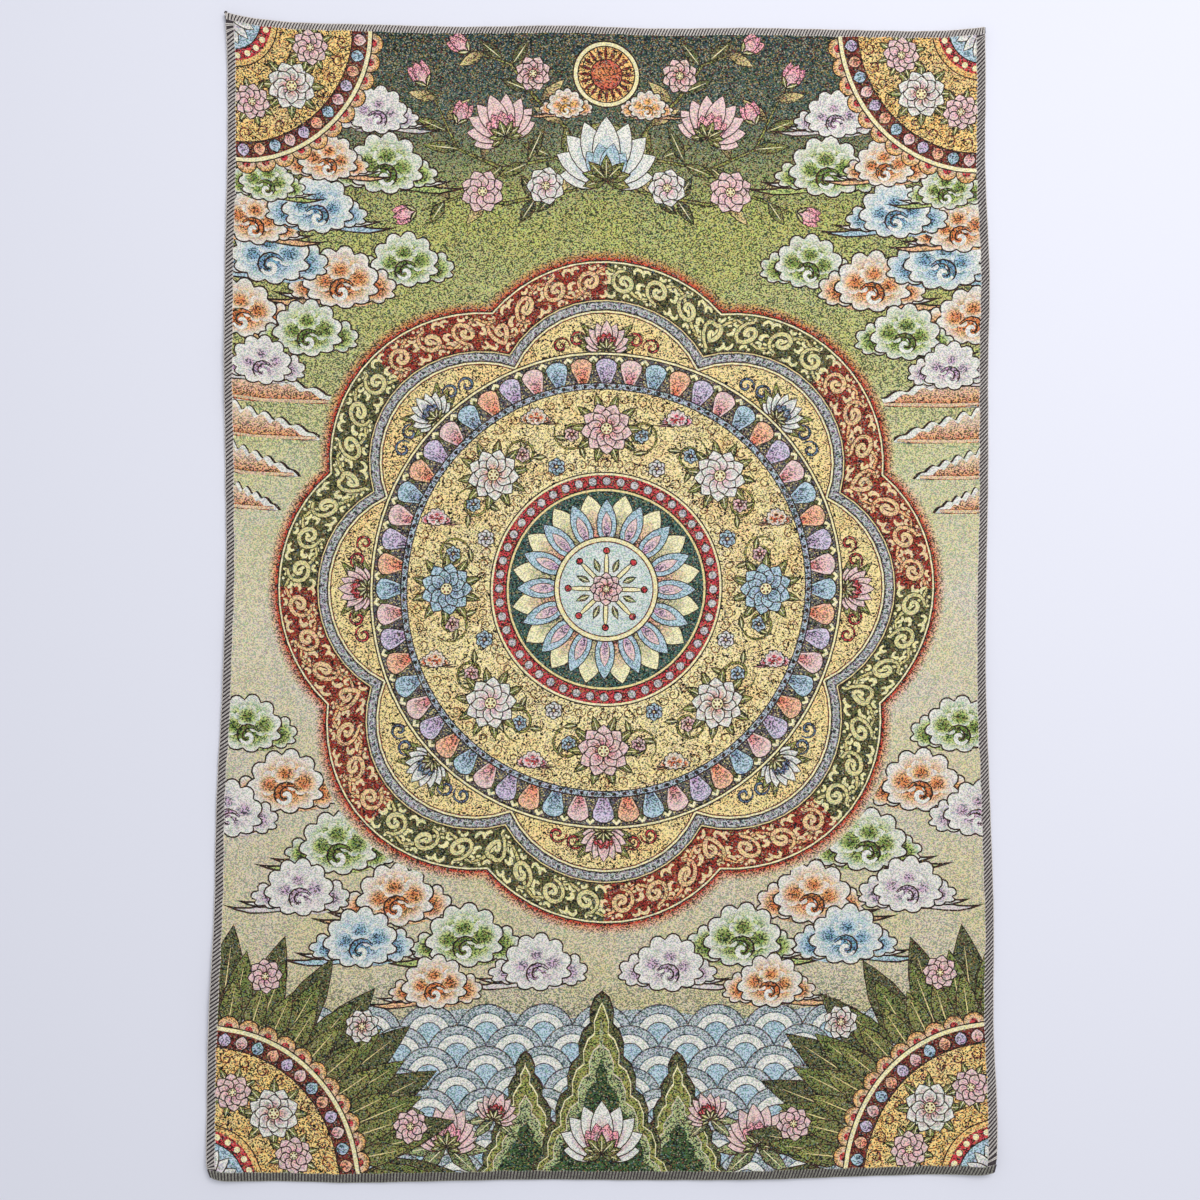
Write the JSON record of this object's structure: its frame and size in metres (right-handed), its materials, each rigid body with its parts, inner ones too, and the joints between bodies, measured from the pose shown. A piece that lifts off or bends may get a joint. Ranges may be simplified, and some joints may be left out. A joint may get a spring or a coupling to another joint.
{
  "type": "woven thangka panel",
  "caption": "Unmounted woven brocade thangka panel, upright rectangle lying face up, with a thread-overlocked edge all round and softly lifted margins.",
  "frame": {"origin": "centre of the outline, on the surface under the cloth", "axes": "+Z off the face of the cloth, +Y towards the top of its picture, +X to the picture's right"},
  "size_m": [0.608, 0.912, 0.0063],
  "materials": {
    "cloth": "fine jacquard brocade in many colours with a gold metallic thread, low sheen",
    "edging": "taupe-grey spun polyester overlock thread in slanted stitches over darker gaps"
  },
  "bodies": {
    "root": {"cloth": "cloth", "edging_top": "edging", "edging_bottom": "edging", "edging_left": "edging", "edging_right": "edging"}
  },
  "joints": []
}
